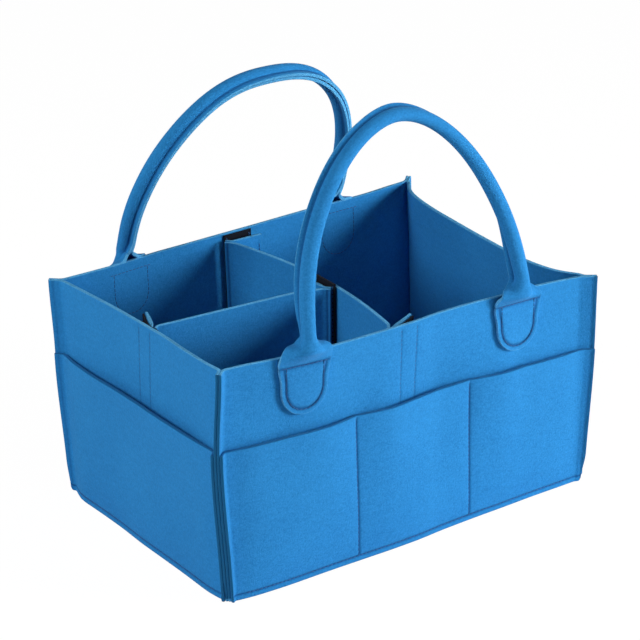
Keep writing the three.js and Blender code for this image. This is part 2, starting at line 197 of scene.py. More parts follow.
# How the soft box stands: the rim is a slight saddle, the front bellies out on its left and
# the right wall sags inwards. Each corner has the (x, y, z) shift of its rim, and each side
# how far it bows outwards at three heights, at places along it. Pairs are for X and for Y.
slouch = {
    "corners": (((-2.3, 0.9, 0.0), (-2.5, -7.1, -3.8)),  # front left and right
                ((-5.2, -1.2, -2.0), (1.4, 5.3, 3.4))),  # back left and right
    "longPlaces": (-170, -146, -119, -96, -80, -52, -23, 4, 26, 58, 86, 104, 120, 143, 170),
    "endPlaces": (-107, -90, -60, -30, 0, 30, 60, 90, 107),
    "front": {
        "rim": (-1.2, -0.4, 3.4, 5.0, 5.8, 4.9, 3.2, 1.8, -1.7, -3.3, -3.2, -4.2, -4.6, -2.5, 0.8),
        "pocket": (1.2, 2.0, 2.0, 3.6, 4.0, 2.2, 3.2, -1.6, -5.2, -2.4, -0.6, -2.4, -1.6, -0.8,
                   2.2),
        "base": (3.2, 6.6, 7.4, 6.8, 6.4, 6.2, 6.1, 5.2, 2.8, 1.0, 0, -0.9, -1.7, -2.1, -3.0)},
    "back": {
        "rim": (3.6, 2.4, 1.4, 3.0, 3.8, 3.6, 3.8, 3.6, 3.6, 4.0, 3.6, 3.4, 3.2, 5.0, 6.0),
        "pocket": (1.8, 1.2, 0.8, 1.6, 2.0, 1.8, 1.8, 1.8, 1.8, 2.0, 1.8, 1.6, 1.6, 2.4, 3.0),
        "base": (0,) * 15},
    "left": {
        "rim": (-0.2, 1.4, 0.6, -1.9, -2.4, -2.2, -1.2, 0.2, 1.4),
        "pocket": (4.6, 3.4, 1.0, 0.2, -1.2, -1.4, 0.4, 1.6, 0.4),
        "base": (0.8, 3.4, 2.4, 2.2, 2.2, 0.8, 0.8, 1.4, -4.6)},
    "right": {
        "rim": (0, -6.0, -6.5, -4.9, -4.2, -3.2, -3.5, -4.5, 0),
        "pocket": (-0.6, -2.0, -3.0, -2.2, -2.0, -1.4, -1.6, -2.0, 0),
        "base": (0,) * 9},
    "blur": 7.0,  # a bow is blurred this far along its side
    "halfSpan": (170, 115),  # where the corner shifts hold in full
    "bowStart": (110, 50),  # a side's bow grows from this far out of the middle
    "bowRun": 50,
    "fadeStart": 20,  # over the rim, the bows fade from here
    "fadeRun": 70,
    "footPinch": 2.4,  # how far the corner seams draw in at the foot
    "pinchHeight": 26,
    "pinchRun": 5,  # in full this far out of the box, and at most this many times
    "pinchMost": 1.3,
    "ripple": 0.35,  # slow waves in the felt, growing from the foot over this height
    "rippleRise": 30,
    # for the waves in X and in Y: length, start, height, slant, where they are full, power
    "waves": ((26, 1.1, 33, 70, 150, 3), (31, 0.6, 27, 90, 100, 1)),
}


def smoothStep(t):
    # three times the square of t less twice its cube, held between 0 and 1
    t = np.clip(t, 0, 1)
    return t * t * (3 - 2 * t)


def softLine(x, places, values):
    # a smooth line through the given values: straight pieces, then blurred with two neighbours
    spread = slouch["blur"]
    return (np.interp(x - spread, places, values) + 2 * np.interp(x, places, values)
            + np.interp(x + spread, places, values)) / 4


def rimFade(z):
    # 1 up to a little over the rim, then falling off evenly in proportion
    return np.exp(-np.clip(z - box["rim"] - slouch["fadeStart"], 0, None) / slouch["fadeRun"])


def bowOf(side, along, z):
    # the outward bow of a side: its three lines along it, blended by height, and fading
    # away over the rim
    places = slouch["longPlaces" if side in longSides else "endPlaces"]
    base, pocket, rim = (
        softLine(along, places, slouch[side][k]) for k in ("base", "pocket", "rim"))
    low = smoothStep(1 - z / box["pocketTop"])
    high = smoothStep((z - box["pocketTop"]) / (box["rim"] - box["pocketTop"]))
    return (base * low + rim * high + pocket * (1 - low - high)) * rimFade(z)


def settle(p):
    # moves points of the upright, level box to where the soft box has them: the corner
    # shifts blended across the rim and scaled by height, then the bows of the four sides,
    # the corner seams drawn in at the foot, and two slow waves
    p = np.asarray(p, float)
    plan, z = p[..., :2], p[..., 2]
    span = np.array(slouch["halfSpan"])
    share = np.clip((plan + span) / (2 * span), 0, 1)
    across, deep = share[..., :1], share[..., 1:]
    front, back = (left * (1 - across) + right * across
                   for left, right in np.array(slouch["corners"]))
    shift = (front * (1 - deep) + back * deep) * np.clip(z / box["rim"], 0, 1)[..., None]
    for side, axis, sign in (("front", 1, -1), ("back", 1, 1), ("left", 0, -1), ("right", 0, 1)):
        outwards = sign * p[..., axis] - slouch["bowStart"][axis]
        bow = bowOf(side, p[..., 1 - axis], z) * smoothStep(outwards / slouch["bowRun"])
        shift[..., axis] += sign * bow
    over = np.clip(np.abs(plan) - [box["outerX"], box["outerY"]], 0, None).min(axis=-1)
    pinch = slouch["footPinch"] * smoothStep(1 - z / slouch["pinchHeight"])
    pinch = pinch * np.minimum(over / slouch["pinchRun"], slouch["pinchMost"])
    shift[..., :2] -= np.sign(plan) * pinch[..., None]
    grown = slouch["ripple"] * np.clip(z / slouch["rippleRise"], 0, 1) * rimFade(z)
    for axis, (length, start, height, slant, full, power) in enumerate(slouch["waves"]):
        along = p[..., 1 - axis]
        wave = np.sin(along / length + start) * np.sin(z / height + along / slant)
        shift[..., axis] += wave * grown * np.clip(np.abs(p[..., axis]) / full, 0, 1) ** power
    return p + shift


# ---- finishes
paint = {
    "felt": (0.030, 0.300, 0.700),
    "feltDeep": (0.012, 0.175, 0.480),
    # painted highlight: cut edges are lighter where light from above catches them
    "feltEdge": (0.13, 0.50, 0.84),
    # raw edges: partly the rough felt's own darker tone, partly painted shade of seam fins, end
    # faces and pocket tops
    "seamEdgeAndShade": (0.008, 0.120, 0.285),
    "grooveShadeTint": (0.38, 0.46, 0.55),  # painted shade: the crease of a stitch line is darkened by this
    # thread: the same blue as the felt, painted darker for the shade of the crease it lies in
    "threadInShade": (0.008, 0.100, 0.300),
    "core": (0.70, 0.67, 0.60),
    "hook": (0.0035, 0.005, 0.010),
    "loop": (0.004, 0.006, 0.011),
}


def makeFibreGroup():
    # Pressed felt: four crossing sets of stretched noise for the fibres, a fine cloudy
    # mottle, streaks, grain and slow clouding, added up as a colour and as a height. The colour
    # then takes a painted highlight on cut edges, darker raw edges with painted shade, and
    # painted shade in the creases of stitch lines
    group = bpy.data.node_groups.new("feltFibres", "ShaderNodeTree")
    sockets = {
        ("INPUT", "Color"): ("Colour", "Deep Colour", "Edge Highlight Colour", "Raw And Shade Colour"),
        ("INPUT", "Float"): ("Cut Edge And Highlight", "Raw Edge And Shade", "Groove Shade", "Streak"),
        ("OUTPUT", "Color"): ("Colour",),
        ("OUTPUT", "Float"): ("Roughness", "Height"),
    }
    for (way, kind), names in sockets.items():
        for name in names:
            group.interface.new_socket(name, in_out=way, socket_type="NodeSocket" + kind)
    start = group.nodes.new("NodeGroupInput").outputs
    end = group.nodes.new("NodeGroupOutput")
    place = addNode(group, "TexCoord", {}).outputs["Object"]

    def maths(kind, a, b):
        # two values put together by one kind of sum
        return addNode(group, "Math", {0: a, 1: b}, operation=kind).outputs[0]

    def spread(value, low, high):
        # from 0 at low to 1 at high
        inputs = {"Value": value, "From Min": low, "From Max": high}
        return addNode(group, "MapRange", inputs).outputs[0]

    def noise(scale, detail, turn=(0, 0, 0)):
        # noise that is stretched along a turned direction
        mapping = addNode(group, "Mapping", {"Vector": place, "Rotation": turn, "Scale": scale})
        return addNode(group, "TexNoise", {
            "Vector": mapping.outputs[0], "Scale": 1, "Detail": detail,
            "Roughness": 0.6}).outputs["Fac"]

    def weighted(*parts):
        # the sum of the values, each times its weight
        total = 0
        for value, weight in parts:
            total = maths("ADD", total, maths("MULTIPLY", value, weight))
        return total

    fibres = 0
    for turn, scale in (
            ((0.2, 0.5, 0.3), (260, 1500, 1500)), ((0.9, 0.1, 1.3), (280, 1400, 1600)),
            ((0.3, 1.2, 0.8), (1500, 240, 1400)), ((0.5, 0.4, 2.2), (1400, 1500, 260))):
        fibres = maths("MAXIMUM", fibres, spread(noise(scale, 2, turn), 0.42, 0.72))
    fine = noise((900, 900, 900), 4)
    mottle = spread(noise((190, 190, 260), 5), 0.3, 0.72)
    streaks = spread(noise((45, 45, 380), 3), 0.3, 0.75)
    clouds = spread(noise((16, 16, 16), 2), 0.3, 0.7)
    grain = spread(noise((620, 620, 620), 3, (0.4, 0.7, 0.2)), 0.34, 0.66)
    streaks = maths("MULTIPLY", streaks, start["Streak"])
    tone = weighted((fibres, 0.2), (mottle, 0.16), (grain, 0.42), (streaks, 0.12), (clouds, 0.16))
    # painted highlight: cut edges are lightened, ragged by a fine noise
    raggedHighlight = maths("MULTIPLY", start["Cut Edge And Highlight"], spread(fine, 0.2, 0.62))
    colour = mixColours(group, tone, start["Deep Colour"], start["Colour"])
    colour = mixColours(group, raggedHighlight, colour, start["Edge Highlight Colour"])
    # darker raw edges, partly their own tone and partly painted shade
    colour = mixColours(group, start["Raw Edge And Shade"], colour, start["Raw And Shade Colour"])
    # painted shade in the creases of stitch lines
    dark = mixColours(group, 1, colour, (*paint["grooveShadeTint"], 1), blend_type="MULTIPLY")
    fluff = maths("MULTIPLY", start["Cut Edge And Highlight"], fine)
    setInputs(group, end, {
        "Colour": mixColours(group, start["Groove Shade"], colour, dark),
        "Roughness": weighted((fine, 0.12), (0.86, 1)),
        "Height": weighted((fibres, 0.6), (fine, 0.5), (mottle, 0.35), (fluff, 1.2))})
    return group


feltFibres = makeFibreGroup()


def newFinish(name):
    # a material, its node tree, its shader and the places on the object
    finish = bpy.data.materials.new(name)
    finish.use_nodes = True
    tree = finish.node_tree
    place = addNode(tree, "TexCoord", {}).outputs["Object"]
    return finish, tree, tree.nodes["Principled BSDF"], place


def makeFelt(name, streak, sheen):
    # blue felt: the fibre group, with a painted highlight on cut edges, darker raw edges with
    # painted shade, and painted shade in the creases of stitch lines
    finish, tree, shader, _ = newFinish(name)
    # the three marks: a painted highlight on cut edges, darker raw edges with painted shade, and
    # the painted shade of stitch creases
    marks = {socket: addNode(tree, "Attribute", {}, attribute_name=mark).outputs["Fac"]
             for mark, socket in (("cutEdgeAndHighlight", "Cut Edge And Highlight"), ("rawEdgeAndShade", "Raw Edge And Shade"),
                                  ("groove", "Groove Shade"))}
    fibre = addNode(tree, "Group", {
        "Colour": (*paint["felt"], 1), "Deep Colour": (*paint["feltDeep"], 1),
        "Edge Highlight Colour": (*paint["feltEdge"], 1), "Raw And Shade Colour": (*paint["seamEdgeAndShade"], 1),
        "Streak": streak, **marks}, node_tree=feltFibres).outputs
    setInputs(tree, shader, {
        "Base Color": fibre["Colour"], "Roughness": fibre["Roughness"],
        "Normal": addBump(tree, fibre["Height"], 0.55, 0.0006),
        "Specular IOR Level": 0.15, "Sheen Weight": sheen, "Sheen Roughness": 0.45,
        "Sheen Tint": (0.35, 0.72, 1.0, 1)})
    return finish


def makeFine(name, colour, shades, size, detail, looks, bump=None, cells=0):
    # thread, tape or cord: a colour that wanders between two shades with a fine noise. The
    # noise is also its height, for tape less a tight grid of cells
    finish, tree, shader, place = newFinish(name)
    noise = addNode(tree, "TexNoise", {"Vector": place, "Scale": size, "Detail": detail})
    noise = height = noise.outputs["Fac"]
    dark, light = ((*[shade * c for c in colour], 1) for shade in shades)
    setInputs(tree, shader, {"Base Color": mixColours(tree, noise, dark, light), **looks})
    if cells:
        grid = addNode(tree, "TexVoronoi", {"Vector": place, "Scale": cells, "Randomness": 0.35})
        height = addNode(tree, "Math", {0: noise, 1: grid.outputs["Distance"]},
                         operation="SUBTRACT").outputs[0]
    if bump:
        setInputs(tree, shader, {"Normal": addBump(tree, height, *bump)})
    return finish


def makeTape(name, colour, size, depth):
    # black tape: hooks are coarser than loops
    return makeFine(name, colour, (0.5, 2.2), size * 1.7, 4,
                    {"Roughness": 0.85, "Specular IOR Level": 0.12}, (0.8, depth), size)


handleFelt = makeFelt("handleFelt", 0.3, 0.15)
threadFinish = makeFine(
    "sewingThread", paint["threadInShade"], (0.7, 1.25), 2200, 2, {"Roughness": 0.6}, (0.4, 0.0002))
cordFinish = makeFine("undyedCord", paint["core"], (0.75, 1), 700, 5, {"Roughness": 0.85})
# the finish of each slot that upright sheets have
slotFinish = {
    "body_felt": makeFelt("wallFelt", 1.0, 0.12),
    "hook_tape": makeTape("hookTape", paint["hook"], 900, 0.0005),
    "loop_tape": makeTape("loopTape", paint["loop"], 1500, 0.0003),
}
print("finishes made")


# ---- making meshes
def makePiece(name, points, faces, finish, body, attributes=None):
    # points in millimetres, already settled; the faces are turned round if their volume is
    # negative, so that they point outwards
    points = np.asarray(points, float).reshape(-1, 3) * 0.001
    a, b, c, d = (points[faces[:, k]] for k in range(4))
    volume = (np.einsum("ij,ij->i", a, np.cross(b, c))
              + np.einsum("ij,ij->i", a, np.cross(c, d))).sum()
    if volume < 0:
        faces = faces[:, ::-1]
    mesh = bpy.data.meshes.new(name)
    mesh.from_pydata(points.tolist(), [], faces.tolist())
    mesh.validate()
    for key, values in (attributes or {}).items():
        layer = mesh.attributes.new(key, "FLOAT", "POINT")
        layer.data.foreach_set("value", np.asarray(values, np.float32).ravel())
    mesh.shade_smooth()
    mesh.materials.append(finish)
    piece = addObject(name, mesh)
    if body:
        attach(piece, body)
    return piece


def gridFaces(count, rows, wrap=False):
    # quads of a grid whose points run row by row inside each column
    i = np.arange(count if wrap else count - 1)[:, None]
    j = np.arange(rows - 1)[None, :]
    k = (i + 1) % count
    return np.stack(
        [i * rows + j, k * rows + j, k * rows + j + 1, i * rows + j + 1], -1).reshape(-1, 4)


def signedPower(values, power):
    # a power of each value's size, with its sign
    return np.sign(values) * np.abs(values) ** power


def unit(vectors):
    # vectors divided by their length
    return vectors / (np.linalg.norm(vectors, axis=-1, keepdims=True) + 1e-12)


def cosSin(degrees):
    # the cosine and the sine of an angle
    return math.cos(math.radians(degrees)), math.sin(math.radians(degrees))


def sheetShell(middle, halfOut, halfIn):
    # a sheet from its middle surface: both faces lie at the half thickness along the
    # surface's normal, which is the cross product of its two grid directions, and the
    # border is closed with one strip of quads
    normal = unit(np.cross(np.gradient(middle, axis=0), np.gradient(middle, axis=1)))
    outer = middle + normal * halfOut[..., None]
    inner = middle - normal * halfIn[..., None]
    count, rows = middle.shape[:2]
    faces = gridFaces(count, rows)
    back = faces[:, ::-1] + count * rows
    ids = np.arange(count * rows).reshape(count, rows)
    loop = np.concatenate([ids[:, 0], ids[-1, 1:], ids[-2::-1, -1], ids[0, -2:0:-1]])
    after = np.roll(loop, -1)
    side = np.stack([loop, loop + count * rows, after + count * rows, after], -1)
    points = np.concatenate([outer.reshape(-1, 3), inner.reshape(-1, 3)])
    return points, np.concatenate([faces, back, side])


def feltMarks(cut, raw, outShade, inShade):
    # the marks of a sheet's two faces, for its finish: the painted highlight of cut edges,
    # the darker raw edges with painted shade, and the painted shade of stitch creases
    return {"cutEdgeAndHighlight": np.tile(cut.ravel(), 2), "rawEdgeAndShade": np.tile(raw.ravel(), 2),
            "groove": np.concatenate([outShade.ravel(), inShade.ravel()])}


def edgeStops(length, radius, spacing, dense=(), reach=2.6):
    # places along a side: close together at both rounded ends and beside stitch lines
    near = radius * np.array([0, 0.12, 0.35, 1.0, 2.0])
    stops = [near, length - near,
             np.linspace(2 * radius, length - 2 * radius, max(3, int(length / spacing)))]
    for place in dense:
        stops.append(place + reach * np.array([-1, -0.55, -0.3, -0.12, 0, 0.12, 0.3, 0.55, 1]))
    stops = np.unique(np.round(np.concatenate(stops), 3))
    stops = stops[(stops >= 0) & (stops <= length)]
    keep = [0]
    for k in range(1, len(stops)):
        if stops[k] - stops[keep[-1]] > 0.08 or k == len(stops) - 1:
            keep.append(k)
    return stops[keep]


def edgeHalf(distance, half, radius):
    # half the thickness near a cut edge: a flat cut face with its corners rounded off
    d = np.clip(distance, 0, radius)
    return half - radius + np.sqrt(np.maximum(radius ** 2 - (radius - d) ** 2, 0))


stitching = {
    "length": 2.9,
    "gap": 0.55,
    "thickness": 0.62,
    "depth": 0.55,  # how far a stitch line presses into the felt
    "width": 0.95,
    "pull": 3.2,  # how far the felt rolls down beside it
    "sewInset": 2.2,  # a strip's stitches lie this far in from its edge
    # how deep the thread lies under the face that it is sewn on
    "sunk": {"wall": 0.52, "pocket": 0.35, "strip": 0.1, "flange": 0.3, "lip": 0.12,
             "patch": 0.2, "inside": 0.02},
    "endGap": 2.0,  # strip stitches stop this far from the ends
    "fade": 1.5,  # the run over which a pressed line fades at its ends
}
feltEdge = {
    "radius": 0.55,
    "markRun": 1.2,  # a cut edge is marked over this many times its radius
    "tipRound": 5.0,  # the corner seams are trimmed round at the foot
    "tipLift": 0.9,
    "tipFade": 16,
    "pressStart": 11,  # a corner seam is pressed from this far in
    "pressRun": 5,
    "endRun": 0.8,
    "endTone": 0.75,  # how strongly the painted shade marks the end faces and the pocket tops
    "topTone": 0.8,
    "thinnest": 0.25,
}


def groove(distance):
    # a narrow bell for the stitch line itself, plus a wide shallow one for the pulled felt
    narrow = np.exp(-(distance / stitching["width"]) ** 2)
    wide = np.exp(-(distance / stitching["pull"]) ** 2)
    return stitching["depth"] * (0.7 * narrow + 0.3 * wide), narrow


def planArc(points):
    # the length along a line at each of its points
    steps = np.linalg.norm(np.diff(np.asarray(points, float), axis=0), axis=1)
    return np.concatenate([[0], np.cumsum(steps)])


def valuesAt(places, arc, values):
    # the columns of values that belong to a line, read at other places along it
    return np.stack([np.interp(places, arc, column) for column in np.transpose(values)], -1)


def bezier(a, b, c, steps):
    # the quadratic curve from a round b to c
    t = np.linspace(0, 1, steps + 1)[:, None]
    a, b, c = (np.array(p, float) for p in (a, b, c))
    return (1 - t) ** 2 * a + 2 * t * (1 - t) * b + t ** 2 * c


def nodeOf(name):
    # the solid that a piece stands for: the same words with underscores
    return "".join("_" + letter.lower() if letter.isupper() else letter for letter in name)


def uprightSheet(name, body, plan, low, high, slot="body_felt", restsOn=("base_panel",),
                 thickness=box["felt"], spacing=(3.0, 3.4), stitchAlong=(), stitchUp=(),
                 push=None, radius=feltEdge["radius"], inside=True, darkTop=False, shadedEnd=0):
    # a sheet that stands on edge: the plan line is swept up from low to high, pushed along
    # its plan normal, and thinned at its cut edges and along its stitch lines. An upright
    # line has its place, bottom, top and at times how strongly it shows; a level one its height
    half = thickness / 2
    isFelt = slot == "body_felt"
    plan = np.asarray(plan, float)
    arc = planArc(plan)
    columns = edgeStops(arc[-1], radius, spacing[0], [place for place, *_ in stitchAlong])
    bends = arc[1:-1][np.abs(np.diff(np.arctan2(*np.diff(plan, axis=0).T[::-1]))) > 0.02]
    columns = np.unique(np.round(np.concatenate([columns, bends]), 2))
    columns = columns[np.concatenate([[True], np.diff(columns) > 0.07])]
    rows = low + edgeStops(high - low, radius, spacing[1], [place - low for place in stitchUp])
    line = valuesAt(columns, arc, plan)
    tangent = unit(np.gradient(line, columns, axis=0))
    s, z = np.meshgrid(columns, rows, indexing="ij")
    fromEnd, fromTop = np.minimum(s, arc[-1] - s), np.minimum(z - low, high - z)
    shift = push(s, z) if push else np.zeros_like(s)
    lifted = z
    if low == 0:
        # the corner seams are trimmed round at the foot
        tip = feltEdge["tipRound"]
        trim = tip - np.sqrt(tip ** 2 - np.clip(tip - fromEnd, 0, tip) ** 2)
        lifted = z + feltEdge["tipLift"] * trim * smoothStep(1 - z / feltEdge["tipFade"])
    middle = np.stack([line[:, :1] + tangent[:, 1:] * shift,
                       line[:, 1:] - tangent[:, :1] * shift, lifted], -1)
    halfHere = edgeHalf(np.minimum(fromEnd, fromTop), half, radius)
    if isFelt:
        pressed = smoothStep((feltEdge["pressStart"] - fromEnd) / feltEdge["pressRun"])
        halfHere = halfHere - (box["felt"] - box["pressedFelt"]) / 2 * pressed
    # a painted highlight on the cut top and bottom edges
    cut = 1 - smoothStep(fromTop / (feltEdge["markRun"] * radius))
    # raw ends darker, partly their own tone and partly painted shade; painted shade on an end face
    # that turns away from the light
    raw = 1 - smoothStep(fromEnd / (feltEdge["markRun"] * radius))
    endShade = smoothStep((shadedEnd - arc[-1] + s) / feltEdge["endRun"])
    raw = np.maximum(raw, feltEdge["endTone"] * endShade)
    # a pocket's top takes painted shade, for the shadow in its mouth, in place of the highlight
    if darkTop:
        cut, raw = 0 * cut, np.maximum(raw, feltEdge["topTone"] * cut)
    # stitch lines press into the felt, and their creases take painted shade
    press, shadeMask = np.zeros_like(s), np.zeros_like(s)
    fade = stitching["fade"]
    lines = [(s - place, (*weight, 1)[0] * smoothStep((z - bottom) / fade)
              * smoothStep((top - z) / fade)) for place, bottom, top, *weight in stitchAlong]
    for distance, here in lines + [(z - place, 1) for place in stitchUp]:
        depth, narrow = groove(distance)
        press = np.maximum(press, depth * here)
        shadeMask = np.maximum(shadeMask, narrow * here)
    points, quads = sheetShell(
        settle(middle), np.maximum(halfHere - press, feltEdge["thinnest"]),
        np.maximum(halfHere - press * inside, feltEdge["thinnest"]))
    piece = makePiece(name, points, quads, slotFinish[slot], body,
                      feltMarks(cut, raw, shadeMask, shadeMask * inside))
    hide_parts(nodeOf(name))


threads = {}


def sewLine(body, path, normals):
    # lays stitches along a path on a surface: each one is a short six-sided thread that
    # rises a little in the middle and dives into the felt at both ends
    path = np.asarray(path, float)
    normals = np.broadcast_to(np.asarray(normals, float), path.shape)
    arc = planArc(path)
    count = int(arc[-1] // (stitching["length"] + stitching["gap"]))
    if count < 1:
        return
    step = arc[-1] / count
    rings = np.array([0, 0.12, 0.5, 0.88, 1.0])
    rise = np.array([-0.9, 0.0, 0.25, 0.0, -0.9]) * stitching["thickness"] * 0.5
    girth = np.array([0.6, 1, 1.08, 1, 0.6]) * stitching["thickness"] * 0.5
    begin = np.arange(count) * step + stitching["gap"] / 2
    places = begin[:, None] + rings[None, :] * (step - stitching["gap"])
    centre, up = valuesAt(places, arc, path), unit(valuesAt(places, arc, normals))
    along = unit(centre[:, -1:] - centre[:, :1])
    aside = np.cross(np.broadcast_to(along, up.shape), up)
    centre = centre + up * rise[None, :, None]
    angle = np.arange(6)[:, None] * math.pi / 3
    ring = np.cos(angle) * aside[..., None, :] + np.sin(angle) * up[..., None, :]
    points = centre[..., None, :] + ring * girth[None, :, None, None]
    ids = np.arange(count * 5 * 6).reshape(count, 5, 6)
    after = np.roll(ids, -1, axis=2)
    sides = np.stack([ids[:, :-1], after[:, :-1], after[:, 1:], ids[:, 1:]], -1).reshape(-1, 4)
    caps = [ids[:, end, list(corners)] for end, corners in (
        (0, (3, 2, 1, 0)), (0, (5, 4, 3, 0)), (4, (0, 1, 2, 3)), (4, (0, 3, 4, 5)))]
    threads.setdefault(body, []).append((points.reshape(-1, 3), np.concatenate([sides, *caps])))


def sewnThreads(name, body):
    # gathers a body's stitches into one piece
    parts = threads.pop(body)
    starts = np.cumsum([0] + [len(p) for p, _ in parts])
    quads = [q + start for (_, q), start in zip(parts, starts)]
    makePiece(name, np.concatenate([p for p, _ in parts]), np.concatenate(quads),
              threadFinish, body)


def sewUpright(body, place, normal, bottom, top):
    # an upright stitch line at a plan place, on the side that the normal points to
    z = np.linspace(bottom, top, 60)
    path = np.stack([np.full_like(z, place[0]), np.full_like(z, place[1]), z], -1)
    sewLine(body, settle(path), (*normal, 0))


# ---- the walls and their pockets
# each end value is a painted shade over the right end of a side, where its seam turns away from
# the light
sides = {  # how the mouth of its pocket stands open, how far each end turns out of its plane
    "front": {"mouth": 2.4, "seamAngles": (45, 27), "shadedEnd": 3.2, "sign": 1},
    "back": {"mouth": 2.4, "seamAngles": (45, 45), "shadedEnd": 0, "sign": -1},
    "left": {"mouth": 3.6, "seamAngles": (45, 45), "shadedEnd": 0, "sign": -1},
    "right": {"mouth": 1.0, "seamAngles": (63, 45), "shadedEnd": 0, "sign": 1},
}
pockets = {
    "stitchOffset": 53.6,
    "belly": 1.3,
    "bellyRise": 26,
    "flatness": 3.2,
    "endInset": 9,
    "footInset": 12,  # the stitch line at the foot stops this far from the corners
    "sagDepth": 17.0,  # how far the right wall hangs in at its rim
    "sagInset": 6,
    "sagPowers": (4, 1.5),  # along the wall and up it
    "seamUp": 4.6,
    "seamAside": 3.6,  # the corner stitch line lies this far in from the raw edge
    "seamClose": 0.04,  # half the gap between the two walls in a corner seam
    "seamApart": 0.1,  # the gap between a wall and its pocket panel there
    "seamMouth": -0.05,  # how much wider a corner seam is at its inner end; here narrower
    "seamWeight": 0.35,  # how strongly the stitch lines show
    "loopWeight": 0.45,
}
loops = {
    "width": 25.0,
    "thickness": 1.5,
    "radius": 0.3,
    "stitchInset": 5.2,
    "front": -3.0,
    "back": -6.5,
    "left": -4.0,
    "low": box["floorTop"] + 6,
    "high": box["rim"] - 1,
}


def onSide(side, s, n):
    # the plan place that lies s along a side, to the right as seen from outside, and n out
    s, n = np.broadcast_arrays(np.asarray(s, float), np.asarray(n, float))
    sign = sides[side]["sign"]
    if side in longSides:
        return np.stack([sign * s, -sign * (box["outerY"] + n)], -1)
    return np.stack([sign * (box["outerX"] + n), sign * s], -1)


def seamPlan(halfRun, layer, angles):
    # the plan line of a wall from raw edge to raw edge: straight along the side and, at each
    # end, round a soft bend and out at the seam's angle beside the next wall's edge
    out = layer * box["layerPitch"] - halfFelt
    tipAside = (pockets["seamClose"] + box["pressedFelt"] * (0.5 + layer)
                + pockets["seamApart"] * layer)
    aside = tipAside + pockets["seamMouth"]
    bend, reach = box["seamBend"], box["seamReach"]

    def end(angle):
        # along the side, round the soft bend at the turning point, and on to the tip
        c, s = cosSin(angle)
        along = (out - aside * c) / s
        turn = np.array([halfRun + along * c - aside * s, out])
        tip = np.array([halfRun + reach * c - tipAside * s, reach * s + tipAside * c])
        soft = bezier(turn - [bend, 0], turn, turn + np.array([c, s]) * bend, 10)
        return np.concatenate([soft, [tip]])

    return np.concatenate([end(angles[0])[::-1] * [-1, 1], end(angles[1])])


def sagOf(side, s, z):
    # the right wall's sag: deepest along the middle of its rim, and nothing at the corners
    if side != "right":
        return np.zeros_like(s)
    across = np.clip(np.abs(s) / (box["outerY"] - pockets["sagInset"]), 0, 1)
    up = np.clip((z - box["floorTop"]) / (box["rim"] - box["floorTop"]), 0, 1)
    flatness, growth = pockets["sagPowers"]
    return -pockets["sagDepth"] * (1 - across ** flatness) * up ** growth


def pillow(s, z, stops, mouth):
    # how far a pocket panel stands out between its stitch lines: a flat-topped arch
    # across each pocket, deeper towards the open mouth
    out = np.zeros_like(s)
    up = np.clip(z / box["pocketTop"], 0, 1)
    depth = mouth * up ** 2 + pockets["belly"] * smoothStep(z / pockets["bellyRise"])
    for a, b in zip(stops[:-1], stops[1:]):
        share = np.clip((s - a) / (b - a), 0, 1)
        out = out + (1 - np.abs(2 * share - 1) ** pockets["flatness"]) * depth
    return out


def halfRunOf(side):
    # half the length of a side between the outer faces of its neighbours
    return box["outerX"] if side in longSides else box["outerY"]


def makeLayer(side, layer, name, high, lines, push, **looks):
    # one layer of a side, with the stitch lines of its corner seams and the given ones, at
    # places from the side's middle
    look = sides[side]
    plan = seamPlan(halfRunOf(side), layer, look["seamAngles"])
    length = planArc(plan)[-1]
    inset, weight = pockets["seamAside"], pockets["seamWeight"]
    stitches = [(inset, 0, high, weight), (length - inset, 0, high, weight)]
    stitches += [(length / 2 + s, *rest) for s, *rest in lines]
    uprightSheet(name, "caddy", onSide(side, plan[:, 0], plan[:, 1]), 0, high,
                 stitchAlong=stitches, push=lambda s, z: push(s - length / 2, z),
                 shadedEnd=look["shadedEnd"], **looks)


def makeSide(side):
    # a wall with the stitches of its loop strip, then its pocket panel
    faceOut = onSide(side, 0, 1) - onSide(side, 0, 0)
    places = []
    if side in loops:
        centre = loops[side] * sides[side]["sign"]
        reach = loops["width"] / 2 - loops["stitchInset"]
        places = [centre - reach, centre + reach]
    makeLayer(side, 0, side + "Wall", box["rim"],
              [(s, loops["low"], loops["high"], pockets["loopWeight"]) for s in places],
              lambda s, z: sagOf(side, s, z))
    for s in places:
        sewUpright("caddy", onSide(side, s, -stitching["sunk"]["wall"]), faceOut,
                   box["pocketTop"] + 1, loops["high"] - stitching["endGap"])

    places = [-pockets["stitchOffset"], pockets["stitchOffset"]] if side in longSides else []
    edge = halfRunOf(side) - pockets["endInset"]
    stops = [-edge, *places, edge]
    low, high = pockets["seamUp"], box["pocketTop"] - 1.5
    # the pocket panel's top edge is painted in shade, for the shadow in its mouth
    makeLayer(side, 1, side + "PocketPanel", box["pocketTop"], [(s, low, high) for s in places],
              lambda s, z: pillow(s, z, stops, sides[side]["mouth"]) + sagOf(side, s, z),
              stitchUp=[low], inside=False, darkTop=True)
    out = box["layerPitch"] - stitching["sunk"]["pocket"]
    for s in places:
        sewUpright("caddy", onSide(side, s, out), faceOut, low, high)
    reach = halfRunOf(side) - pockets["footInset"]
    foot = onSide(side, np.linspace(-reach, reach, 200), out)
    path = np.concatenate([foot, np.full((len(foot), 1), low)], 1)
    sewLine("caddy", settle(path), (*faceOut, 0))


for side in sides:
    makeSide(side)
print("walls and pockets made")

# ---- the base: a flat sheet with its edge turned down inside the walls
basePlate = {"drop": 6.0, "bend": 1.5, "corner": 4.8, "squareness": 0.5, "edgeRound": 0.6,
             "cornerSteps": 12, "sideSteps": 10}


